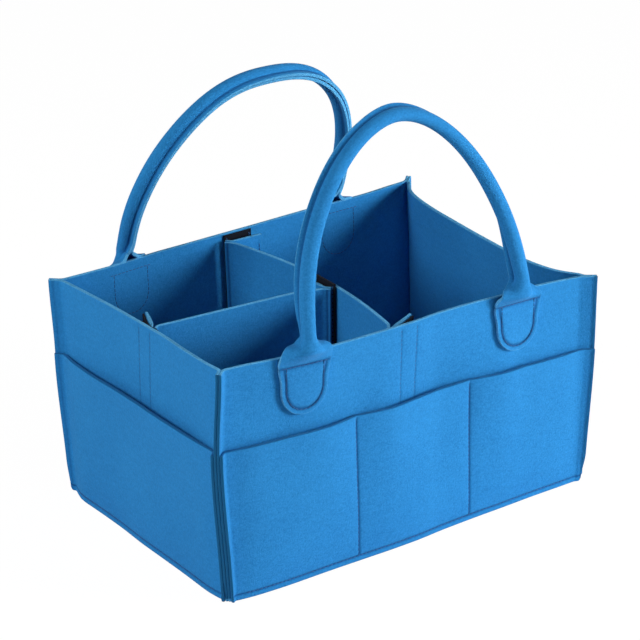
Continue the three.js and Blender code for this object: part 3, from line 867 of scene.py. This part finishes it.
def makeBase():
    # rounded rectangles stacked along a profile: (way in from the edge's outer face, height).
    # Further in than the bend, the rectangle is scaled towards the middle instead
    felt, top, drop = box["felt"], box["floorTop"], basePlate["drop"]
    bend = basePlate["bend"] + felt
    over = bezier((bend, top), (0, top), (0, top - bend), 8)
    under = bezier((felt, top - bend), (felt, drop), (bend, drop), 8)
    r = basePlate["edgeRound"]
    foot = np.array([(0, 2 * r), (0, r), (0.3 * r, 0.3 * r), (r, 0), (felt - r, 0),
                     (felt - 0.3 * r, 0.3 * r), (felt, r), (felt, 2 * r)])
    profile = np.concatenate([over, foot, under])

    # the corner's centre and the turn for each place round the rectangle: a quarter circle
    # at each corner, and more places along the side after it
    corner, side = basePlate["cornerSteps"], basePlate["sideSteps"]
    share = np.tile(np.concatenate([np.zeros(corner), np.arange(1, side) / side]), 4)[:, None]
    quarter = np.repeat(np.arange(4), corner + side - 1)
    run = np.array([innerX, innerY]) - box["seatGap"] - basePlate["corner"]
    centres = run * [[1, 1], [-1, 1], [-1, -1], [1, -1]]
    centre = centres[quarter] * (1 - share) + centres[(quarter + 1) % 4] * share
    turns = np.linspace(0, math.pi / 2, corner)
    turns = np.concatenate([turns, np.full(side - 1, math.pi / 2)])
    turn = (turns + np.arange(4)[:, None] * math.pi / 2).ravel()
    around = signedPower(np.stack([np.cos(turn), np.sin(turn)], -1), basePlate["squareness"])

    def ring(inset, z):
        # the rectangle at this way in and this height
        plan = centre + around * (basePlate["corner"] - inset)
        return np.concatenate([plan, np.full((len(turn), 1), z)], 1)

    shares = np.array([0.02, 0.25, 0.5, 0.75, 0.93])
    inner = [ring(bend, top) * [s, s, 1] for s in shares]
    outer = [ring(bend, drop) * [s, s, 1] for s in shares[::-1]]
    rings = np.stack(inner + [ring(i, z) for i, z in profile] + outer, 1)
    count, rows = rings.shape[:2]
    ids = np.arange(count * rows).reshape(count, rows)
    points = np.concatenate([rings.reshape(-1, 3), [[0, 0, top], [0, 0, drop]]])
    k = np.arange(0, count - 1, 2)
    fans = []
    for end, row in enumerate((0, rows - 1)):
        loop = ids[:, row]
        middle = np.full(len(k), count * rows + end)
        fans.append(np.stack([loop[k], loop[k + 1], loop[(k + 2) % count], middle], -1))
    quads = np.concatenate([gridFaces(count, rows, wrap=True), fans[0][:, ::-1], fans[1]])
    # a painted highlight on the foot of the turned-down edge, as on other cut edges
    raggedHighlight = np.zeros(len(points))
    raggedHighlight[:count * rows] = np.tile((rings[0, :, 2] < 2.2) * 1.0, count)
    nothing = np.zeros(len(points))
    base = makePiece("basePanel", settle(points), quads, slotFinish["body_felt"], "caddy",
                     {"cutEdgeAndHighlight": raggedHighlight, "rawEdgeAndShade": nothing, "groove": nothing})
    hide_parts("base_panel")


makeBase()


# ---- black strips
def makeStrip(name, body, slot, middle, along, outwards, high, sewnHigh, behind=0):
    # an upright strip about its middle in plan, sewn on near both long edges. Where a depth
    # behind its middle is given, the stitches show on that face too
    middle, along, outwards = (np.array(v, float) for v in (middle, along, outwards))
    plan = middle + np.linspace(-0.5, 0.5, 9)[:, None] * loops["width"] * along
    inset = stitching["sewInset"]
    lines = [(place, loops["low"], high) for place in (inset, planArc(plan)[-1] - inset)]
    uprightSheet(name, body, plan, loops["low"], high, slot, (), loops["thickness"],
                 (1.6, 3.0), lines, radius=loops["radius"])
    ends = loops["low"] + stitching["endGap"], sewnHigh
    for sign in (-1, 1):
        spot = middle + along * sign * (loops["width"] / 2 - inset)
        face = loops["thickness"] / 2 - stitching["sunk"]["strip"]
        sewUpright(body, spot + outwards * face, outwards, *ends)
        if behind:
            sewUpright(body, spot - outwards * behind, -outwards, *ends)


def makeWallStrip(side, middle, along, inwards):
    # the loop strip inside a wall
    makeStrip(side + "LoopStrip", "caddy", "loop_tape", middle, along, inwards,
              loops["high"], loops["high"] - stitching["endGap"])


off = box["seatGap"] + loops["thickness"] / 2
makeWallStrip("front", (loops["front"], off - innerY), (1, 0), (0, 1))
makeWallStrip("back", (loops["back"], innerY - off), (1, 0), (0, -1))
makeWallStrip("left", (off - innerX, loops["left"]), (0, 1), (1, 0))
print("base and loop strips made")

# ---- dividers: a panel with a flange sewn across each end
dividers = {
    "low": box["floorTop"] + box["seatGap"],
    "high": 176.0,
    "seamReach": 1.4,
    "flange": 26.4,
    "stripStart": 0.8,
    "finClearance": 0.4,
    "crossFrontX": -13.0,
    "crossBackX": -18.0,
    "crossBow": 14.2,
    "loopClearance": 0.9,
    "longLeftY": -2.0,
    "longRightY": -10.5,
    "longEndDrop": 4.8,  # the right end is pushed this far forwards, in a short bend
    "longEndReach": 1.0,
    "loopShift": 3.5,
    "bendRun": 1.6,
    "stitchInset": 2.4,
    "crossStraight": 0.93,  # the share of the cross divider that follows its bow
    "longStraight": (12, 7),  # how far from its two ends the long divider's line begins
    "seamStitch": 0.62,  # where a flange's stitches lie between its raw edge and its bend
    "pushStart": 30,
    "pushRun": 32,
    "hookDrop": 1,  # a hook strip ends this far below the panel, and its stitches this far
    "hookSewn": 7,
    "splay": {"Back": 3, "Front": 22, "Right": 4, "Left": 24},  # degrees
}
seamSide = box["layerGap"] / 2 + halfFelt
finStand = (dividers["seamReach"] + seamSide + halfFelt) / math.sqrt(2)
flangeStand = box["seatGap"] + loops["thickness"] + dividers["finClearance"] + finStand
crossX = (dividers["crossFrontX"] + dividers["crossBackX"]) / 2
crossTurn = (dividers["crossBackX"] - dividers["crossFrontX"]) / 2
crossFace = crossX - halfFelt + dividers["crossBow"]


def seamCorner(corner, face, other):
    # the tip of a sheet's raw edge and the turning point of its bend, at a sewn corner
    corner, face, other = (np.asarray(v, float) for v in (corner, face, other))
    tip = (corner + (face + other) * dividers["seamReach"] / math.sqrt(2)
           + (face - other) * seamSide / math.sqrt(2))
    return tip, corner - face * halfFelt - other * (halfFelt + math.sqrt(2) * seamSide)


def softCorner(tip, turn, onward):
    # the raw edge, then a soft bend at the turning point into the onward direction
    run = dividers["bendRun"]
    lead = min(run, 0.6 * np.linalg.norm(tip - turn))
    return np.concatenate([
        [tip], bezier(turn + unit(tip - turn) * lead, turn, turn + onward * run, 6)])


def makeFlange(name, body, corner, face, other, splay):
    # the flange turns at its seam, stands off the wall by its splay and carries a hook strip
    low, high = dividers["low"], dividers["high"]
    face, other = np.array(face, float), np.array(other, float)
    c, s = cosSin(splay)
    tip, turn = seamCorner(corner, face, other)
    along = -other * c - face * s
    outwards = face * c - other * s
    plan = np.concatenate([softCorner(tip, turn, along), [turn + along * dividers["flange"]]])
    uprightSheet(name + "Flange", body, plan, low, high, spacing=(2.2, 3.4),
                 stitchAlong=[(dividers["stitchInset"], low, high)])
    behind = box["seatGap"] + loops["thickness"] / 2
    middle = (turn + along * (dividers["stripStart"] + loops["width"] / 2)
              + outwards * (halfFelt + behind))
    makeStrip(name + "HookStrip", body, "hook_tape", middle, along, outwards,
              high - dividers["hookDrop"], high - dividers["hookSewn"],
              box["felt"] + behind - stitching["sunk"]["flange"])
    sewUpright(body, tip + (turn - tip) * dividers["seamStitch"], outwards, low + 1, high - 1)


def makeDivider(kind, other, ends, middle):
    # a divider's panel, from its first end along the middle line to its second, and its two
    # flanges. Each end has the corner of its seam and the way that its flange faces
    body, name = kind + "_divider", kind + "Divider"
    low, high = dividers["low"], dividers["high"]
    (tipA, turnA), (tipB, turnB) = [
        seamCorner(corner, other, face) for corner, face in ends.values()]
    plan = np.concatenate([
        softCorner(tipA, turnA, unit(middle[0] - turnA)), middle,
        softCorner(tipB, turnB, unit(middle[-1] - turnB))[::-1]])
    inset = dividers["stitchInset"]
    uprightSheet(name + "Panel", body, plan, low, high,
                 stitchAlong=[(s, low, high) for s in (inset, planArc(plan)[-1] - inset)])
    for end, (corner, face) in ends.items():
        makeFlange(name + end, body, corner, face, other, dividers["splay"][end])


def makeCrossDivider():
    # bowed to the right, with a loop strip on its left face for the long divider
    d = dividers
    reach = innerY - flangeStand
    share = np.linspace(-d["crossStraight"], d["crossStraight"], 40)
    x = crossX - crossTurn * share + d["crossBow"] * (1 - share ** 2)
    ends = {"Back": ((d["crossBackX"] - halfFelt, reach), (0, 1)),
            "Front": ((d["crossFrontX"] - halfFelt, -reach), (0, -1))}
    makeDivider("cross", (-1, 0), ends, np.stack([x, -share * reach], -1))
    middle = (crossFace - d["loopClearance"] - loops["thickness"] / 2,
              d["longRightY"] + d["loopShift"])
    makeStrip("crossDividerLoopStrip", "cross_divider", "loop_tape", middle, (0, 1), (-1, 0),
              loops["high"], loops["high"] - stitching["endGap"])


def makeLongDivider():
    # straight, but for the short bend at its right end
    d = dividers
    left = -innerX + flangeStand
    right = crossFace + box["seatGap"] - d["loopClearance"] - flangeStand + d["longEndReach"]
    x = np.linspace(left + d["longStraight"][0], right - d["longStraight"][1], 30)
    y = d["longLeftY"] + (d["longRightY"] - d["longLeftY"]) * (x - left) / (right - left)
    y = y - d["longEndDrop"] * smoothStep((x - right + d["pushStart"]) / d["pushRun"])
    ends = {"Left": ((left, d["longLeftY"] - halfFelt), (-1, 0)),
            "Right": ((right, d["longRightY"] - d["longEndDrop"] - halfFelt), (1, 0))}
    makeDivider("long", (0, -1), ends, np.stack([x, y], -1))


makeCrossDivider()
makeLongDivider()
sewnThreads("crossDividerStitches", "cross_divider")
sewnThreads("longDividerStitches", "long_divider")
print("dividers made")

# ---- handles: one strip of felt each, flat at its patches and wrapped round a cord between
wrap = {
    "tube": 6.0,
    "fin": 3.3,  # how far the sewn lips stand out of the tube
    "neckLow": 185.5,  # the strip begins to curl here
    "neckHigh": 200.5,  # and is closed round the cord here
    "neckPast": (4, 3),  # its rows lie close from this far below to this far above
    "dome": 0.12,
    "shoulder": 2.4,  # how much wider the strip is at its shoulders
    "patchHalf": 19.3,
    "patchRound": 22.0,
    "roundPower": 2.15,
    "patchLow": 133.0,
    "barUp": 172.2,
    "barInset": 0.6,
    "stitchInset": 3.9,
    "lipTurn": 1.5,  # the run over which a lip turns outwards
    "lipAside": 2.25,
    "lipSlack": 1.3,
    "thinnest": 0.4,
    "blend": (0.174, 0.192),  # metres up, between the patch's body and the tube's
    "fill": 0.9,
    "places": (0, 0.08, 0.18, 0.3, 0.42, 0.54, 0.66, 0.78, 0.9, 1),  # of swell and girth
    # the height at which each of these begins, and the run over which it comes in full
    "ramps": {"dome": (172.6, 9), "neck": (185.5, 15), "toTube": (172, 22), "onTube": (180, 16),
              "lean": (184, 18), "swing": (184, 14), "shoulder": (164, 16), "narrow": (186, 12),
              "closed": (196.5, 6)},
}
# Along each arch, from 0 at its left foot to 1 at its right foot: swell moves its line
# outwards, girth thins the tube where it bends, and seamTurn swings the lips round it.
arches = {
    "front": {"side": -1, "centre": 0.0, "halfSpan": 98.6, "start": 2.0, "standOff": 5.6,
              "height": 149.8, "lean": 12, "power": 1.85, "skew": 0.0, "patchShift": (0.0, 0.0),
              "neckDrop": (5.5, 8.5),  # how much lower each neck begins
              "neckTilt": (-1.0, 6.0),  # and how much more so on its right than on its left
              "swell": (-1.5, -0.8, 0.6, 0, 0.4, 2.0, 0.6, -0.6, 0.1, 1.4),
              "girth": (0.86, 0.93, 1, 1, 0.94, 0.86, 0.92, 1, 1, 0.95),
              "seamPlaces": (0, 0.07, 0.18, 0.35, 0.46, 0.53, 0.6, 0.8, 0.9, 0.96, 1),
              "seamTurn": (-25, 15, 50, 60, 66, 36, 25, 25, 0, -40, -54)},
    "back": {"side": 1, "centre": -9.0, "halfSpan": 98.0, "start": 2.5, "standOff": 6.106,
             "height": 138.8, "lean": 16, "power": 2.3, "skew": 0.08, "patchShift": (2.6, 1.0),
             "neckDrop": (13.5, 12.0),
             "neckTilt": (-2.0, 4.0),
             "swell": (-3.2, 0.4, 0.2, -1.2, 0.4, -1.3, -1.9, -0.3, 1.5, 2.0),
             "girth": (0.92, 0.96, 0.98, 0.95, 0.88, 0.87, 0.82, 0.78, 0.84, 0.92),
             "seamPlaces": (0, 0.15, 0.35, 0.5, 0.62, 0.75, 1),
             "seamTurn": (-28, -28, -22, -15, 0, 20, 30)},
}
hinge = {"out": box["outerY"] + box["seatGap"] + halfFelt, "up": 182.5}


def softShare(share, places, values):
    # a smooth line through values given at shares of the way: five neighbours averaged
    return sum(np.interp(np.clip(share + d, 0, 1), places, values)
               for d in (-0.04, -0.02, 0, 0.02, 0.04)) / 5


def ramp(name, up):
    # from 0 below a ramp of the handle to 1 over it
    begin, run = wrap["ramps"][name]
    return smoothStep((up - begin) / run)


def archLine(arch, count):
    # a rounded power curve from foot to foot in the handle's own upright plane, moved along
    # its own normal by the swell, leant over about the hinge line and carried out to the
    # handle's side. Evenly spaced; also returns each point's share of the way along
    angle = np.linspace(0, math.pi, 3001)
    across = signedPower(np.cos(angle), 2 / arch["power"])
    rise = (arch["height"] - arch["start"]) * np.maximum(0, np.sin(angle)) ** (2 / arch["power"])
    line = np.stack([-arch["halfSpan"] * across + arch["skew"] * rise, arch["start"] + rise], -1)
    arc = planArc(line)
    share = np.linspace(0, 1, count)
    line = valuesAt(share, arc / arc[-1], line)
    tangent = unit(np.gradient(line, share, axis=0))
    swell = softShare(share, wrap["places"], arch["swell"])
    x = line[:, 0] - swell * tangent[:, 1]
    up = line[:, 1] + swell * tangent[:, 0]
    (c, s), side = cosSin(arch["lean"]), arch["side"]
    y = side * (arch["standOff"] * c - up * s)
    z = arch["standOff"] * s + up * c
    return np.stack([arch["centre"] + x, side * hinge["out"] + y, hinge["up"] + z], -1), share


def leanOut(arch):
    # the way that the arch's plane faces, outwards and up
    c, s = cosSin(arch["lean"])
    return np.array([0, arch["side"] * c, s])


def footX(arch, foot):
    # the middle of a patch: 0 is the left one and 1 the right one
    return arch["centre"] + (2 * foot - 1) * arch["halfSpan"] + arch["patchShift"][foot]


def curlAt(up, drop):
    # how far the strip is curled: a low dome over the bar, then all the way up the neck
    return wrap["dome"] * ramp("dome", up) + (1 - wrap["dome"]) * ramp("neck", up + drop)


def stripSection(q, curl, middle):
    # the strip's middle line across its width: an arc whose curvature grows with curl, with
    # the sewn lips turned back out at its ends. The direction is integrated along q.
    closed = (math.pi - np.arcsin(wrap["lipAside"] / middle))[:, None]
    middle, curl = middle[:, None], curl[:, None]
    fine = np.linspace(0, 24, 481)
    lip = (closed - math.pi / 2) * smoothStep((fine - middle * closed) / wrap["lipTurn"])
    turn = curl * np.minimum(fine, middle * closed) / middle - curl ** 1.5 * lip

    def summed(values):
        # the running total of the values along the strip, read at each q
        steps = (values[:, 1:] + values[:, :-1]) / 2 * (fine[1] - fine[0])
        sums = np.concatenate([np.zeros((len(curl), 1)), np.cumsum(steps, 1)], 1)
        return np.stack([np.interp(abs(q[k]), fine, sums[k]) for k in range(len(curl))])

    return summed(np.cos(turn)) * np.sign(q), -summed(np.sin(turn))


def handleRows(arch):
    # the rings of the strip: up one patch and its neck, along the arch, and down the other.
    # Their path is the centre line of the tube; on a patch it lies behind the flat strip.
    # Each row has its place, its share of the arch and the radius of the felt's middle
    tube, share = archLine(arch, 210)
    middle = wrap["tube"] * softShare(share, wrap["places"], arch["girth"]) - halfFelt
    below, above = wrap["neckPast"]
    low, neck, joinUp = wrap["patchLow"], wrap["neckLow"] - below, wrap["neckHigh"] + above
    up = np.unique(np.concatenate([
        low + np.array([0.12, 0.35, 0.7, 1.2, 2.0, 3.0]), np.arange(low + 4, neck, 1.3),
        np.arange(neck, joinUp, 0.8)]))
    feet = []
    for foot in (0, 1):
        order = slice(None, -61, -1) if foot else slice(None, 60)
        line, drop = tube[order], arch["neckDrop"][foot]
        radius = np.full(len(up), middle[-foot])
        # the strip's middle stands out by this when its lips rest on the wall
        q = np.broadcast_to(np.linspace(0, wrap["patchHalf"], 30), (len(up), 30))
        lift = -stripSection(q, curlAt(up, drop), radius)[1].min(axis=1)
        rest = arch["side"] * (hinge["out"] + lift - radius)
        tubeX, tubeY, _ = valuesAt(up, line[:, 2], line).T
        along = np.interp(up, line[:, 2], share[order])
        toTube, onTube = ramp("toTube", up + drop), ramp("onTube", up + drop)
        x = footX(arch, foot) * (1 - toTube) + tubeX * toTube
        y = rest * (1 - onTube) + tubeY * onTube
        rows = np.stack([x, y, up, along, radius], -1)
        feet.append(rows[::-1] if foot else rows)
    arm = np.concatenate([tube, share[:, None], middle[:, None]], 1)[tube[:, 2] > joinUp]
    return np.concatenate([feet[0], arm, feet[1]])


def makeHandle(name):
    # the felt strip of a handle with its stitches: a section in each ring's own frame, which
    # turns from upright on the patches to the arch's plane on the tube
    arch = arches[name]
    side = arch["side"]
    rows = handleRows(arch)
    path, share, radius = rows[:, :3], rows[:, 3], rows[:, 4]
    up = path[:, 2]
    isLeft = np.arange(len(up)) < len(up) / 2
    drop = np.where(isLeft, *arch["neckDrop"])
    leant = ramp("lean", up + drop)[:, None]
    upright = np.where(isLeft, 1, -1)[:, None] * np.array([0, 0, 1.0])
    tangent = unit(np.gradient(path, planArc(path), axis=0))
    tangent = unit(tangent * leant + upright * (1 - leant))
    out = np.array([0, side, 0.0]) * (1 - leant) + leanOut(arch) * leant
    out = unit(out - tangent * np.einsum("ij,ij->i", out, tangent)[:, None])
    inside = np.cross(tangent, out)
    tilt = np.where(isLeft, *arch["neckTilt"]) / 2 * np.sign(inside[:, 0])
    turn = softShare(share, arch["seamPlaces"], arch["seamTurn"]) * ramp("swing", up)
    c, s = np.cos(np.radians(turn))[:, None], np.sin(np.radians(turn))[:, None]
    swungIn = inside * c + side * out * s
    swungOut = out * c - side * inside * s

    # the strip's half width: the rounded foot of each patch, its full width, then what the
    # tube and its lips need
    power = wrap["roundPower"]
    low = up - wrap["patchLow"]
    foot = np.clip(1 - low / wrap["patchRound"], 0, 1)
    closed = math.pi - np.arcsin(wrap["lipAside"] / radius)
    tubeHalf = (radius * (closed + 1 - np.abs(np.cos(closed))) + halfFelt
                + wrap["fin"] + wrap["lipTurn"] - wrap["lipSlack"])
    flatHalf = (wrap["patchHalf"] * (1 - foot ** power) ** (1 / power)
                + wrap["shoulder"] * ramp("shoulder", up + drop))
    narrow = ramp("narrow", up + drop)
    wide = (flatHalf * (1 - narrow) + tubeHalf * narrow)[:, None]
    edge = feltEdge["radius"]
    near = edge * np.array([0, 0.12, 0.4, 1.0])
    half = np.concatenate([
        np.linspace(0, 0.62, 17), np.linspace(0.65, 0.8, 8), np.linspace(0.84, 1, 5)])
    shares = np.concatenate([-half[:0:-1], half])
    q = np.concatenate([near - wide, (wide - 2 * edge) * shares, wide - near[::-1]], 1)
    a, b = (np.where(q > 0, more, less) for less, more in zip(
        stripSection(q, curlAt(up, drop - tilt), radius),
        stripSection(q, curlAt(up, drop + tilt), radius)))
    b = b + radius[:, None]
    middle = path[:, None] + a[..., None] * swungIn[:, None] + b[..., None] * swungOut[:, None]

    # thickness: rounded cut edges, and stitch lines along the tongue, the bar and the lips,
    # each with how far it presses in, how wide its painted crease shade shows and where
    fromSide = wide - np.abs(q)
    rounded = ((np.abs(q) / wrap["patchHalf"]) ** power + foot[:, None] ** power) ** (1 / power)
    tongue = np.where(
        low[:, None] < wrap["patchRound"], (1 - rounded) * wrap["patchHalf"], fromSide)
    fromEdge = np.clip(np.minimum(fromSide, tongue), 0, None)
    sewn = tongue - wrap["stitchInset"]
    overBar = (up - wrap["barUp"])[:, None] * np.ones_like(q)
    fromLip = fromSide - wrap["fin"]
    # the creases of the stitch lines take painted shade
    press, shadeMask = np.zeros_like(q), np.zeros_like(q)
    for pressed, factor, shadeLine, width, here in (
            (sewn, 1.3, sewn, 1.35, smoothStep(wrap["barUp"] + 0.6 - up)),
            (overBar, 1.3, overBar, 1.35, np.ones_like(up)),
            (fromLip + 0.2, 1, fromLip - 0.4, 1.3, ramp("closed", up + drop))):
        press = np.maximum(press, factor * groove(pressed)[0] * here[:, None])
        shadeMask = np.maximum(shadeMask, np.exp(-(shadeLine / width) ** 2) * here[:, None])
    halfHere = np.maximum(edgeHalf(fromEdge, halfFelt, edge) - press, wrap["thinnest"])
    # a painted highlight on the strip's cut edges
    cut = 1 - smoothStep(fromEdge / (feltEdge["markRun"] * edge))
    points, quads = sheetShell(settle(middle), halfHere, halfHere)
    handle = makePiece(name + "Handle", points, quads, handleFelt, None,
                       feltMarks(cut, 0 * cut, shadeMask, shadeMask))
    body = name + "_handle"
    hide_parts(body + "_sleeve", body + "_left_patch", body + "_right_patch")
    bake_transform(handle)

    # the stitches along the lips, on both faces of the seam
    outer = points[:q.size].reshape(*q.shape, 3)
    facing = unit(np.cross(np.gradient(outer, axis=0), np.gradient(outer, axis=1)))
    run = np.flatnonzero(up > wrap["neckHigh"] + 1)
    for sign in (-1, 1):
        column = np.argmin(np.abs(q + sign * (wide - wrap["fin"] + 0.2)), axis=1)[run]
        normals = facing[run, column]
        sewLine(body, outer[run, column] - stitching["sunk"]["lip"] * normals, normals)
    sewnThreads(name + "HandleStitches", body)


def sewPatches(arch):
    # the tongue line and the bar of both patches, and the same stitches inside the wall
    inset, bar = wrap["stitchInset"], wrap["barUp"]
    power = 2 / wrap["roundPower"]
    halfD, roundD = wrap["patchHalf"] - inset, wrap["patchRound"] - inset
    t = np.linspace(-math.pi / 2, math.pi / 2, 80)
    curve = np.stack([signedPower(np.sin(t), power) * halfD,
                      wrap["patchLow"] + inset + roundD * (1 - np.abs(np.cos(t)) ** power)], -1)
    barHalf = wrap["patchHalf"] - wrap["barInset"]
    lines = (np.concatenate([[[-halfD, bar]], curve, [[halfD, bar]]]),
             np.stack([np.linspace(-barHalf, barHalf, 20), np.full(20, bar)], -1))
    side, sunk = arch["side"], stitching["sunk"]
    faces = ((side, box["outerY"] + box["seatGap"] + box["felt"] - sunk["patch"]),
             (-side, innerY + sunk["inside"]))
    for foot in (0, 1):
        for line in lines:
            arc = planArc(line)
            fine = np.linspace(0, arc[-1], 160)
            x, z = valuesAt(fine, arc, line).T
            for normal, out in faces:
                path = np.stack([footX(arch, foot) + x, np.full_like(x, side * out), z], -1)
                sewLine("caddy", settle(path), (0, normal, 0))


for name, arch in arches.items():
    makeHandle(name)
    sewPatches(arch)
sewnThreads("caddyStitches", "caddy")
print("handles made")

cord = {"inset": 2.0, "radius": 3.1, "dip": 0.55, "strand": 0.4, "strands": 3, "twist": 0.18,
        "endRun": 2.5, "rings": 260, "sides": 24}


def makeCore(name):
    # the cord inside: three strands laid round each other, as a radius that swells three
    # times round and turns as it goes along
    arch = arches[name]
    dense, _ = archLine(arch, 1501)
    arc = planArc(dense)
    keep = np.linspace(cord["inset"], arc[-1] - cord["inset"], cord["rings"])
    thin = np.interp(keep / arc[-1], wrap["places"], arch["girth"])[:, None]
    path = valuesAt(keep, arc, dense)
    tangent = unit(np.gradient(path, keep, axis=0))
    out = leanOut(arch)
    inside = np.cross(tangent, out)
    angle = np.linspace(0, 2 * math.pi, cord["sides"], endpoint=False)
    turned = cord["strands"] / 2 * (angle + keep[:, None] * cord["twist"])
    fromEnd = np.minimum(keep - keep[0], keep[-1] - keep)[:, None]
    girth = ((cord["radius"] * thin - cord["dip"] + cord["strand"] * np.abs(np.cos(turned)))
             * np.sqrt(np.clip(fromEnd / cord["endRun"], 0.02, 1)))
    ring = np.cos(angle)[:, None] * inside[:, None] + np.sin(angle)[:, None] * out
    grid = (path[:, None] + girth[..., None] * ring).transpose(1, 0, 2)
    rows, count = grid.shape[:2]
    ids = np.arange(rows * count).reshape(rows, count)
    k = np.arange(rows // 2 - 1)
    corners = (k, k + 1, rows - 2 - k, rows - 1 - k)
    caps = [np.stack([ids[corner, end] for corner in corners], -1) for end in (0, count - 1)]
    quads = np.concatenate([gridFaces(rows, count, wrap=True), caps[0][:, ::-1], caps[1]])
    core = makePiece(name + "HandleCore", settle(grid.reshape(-1, 3)), quads, cordFinish,
                     name + "_handle")
    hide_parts(name + "_handle_core")


for name in arches:
    makeCore(name)
print("cores made")
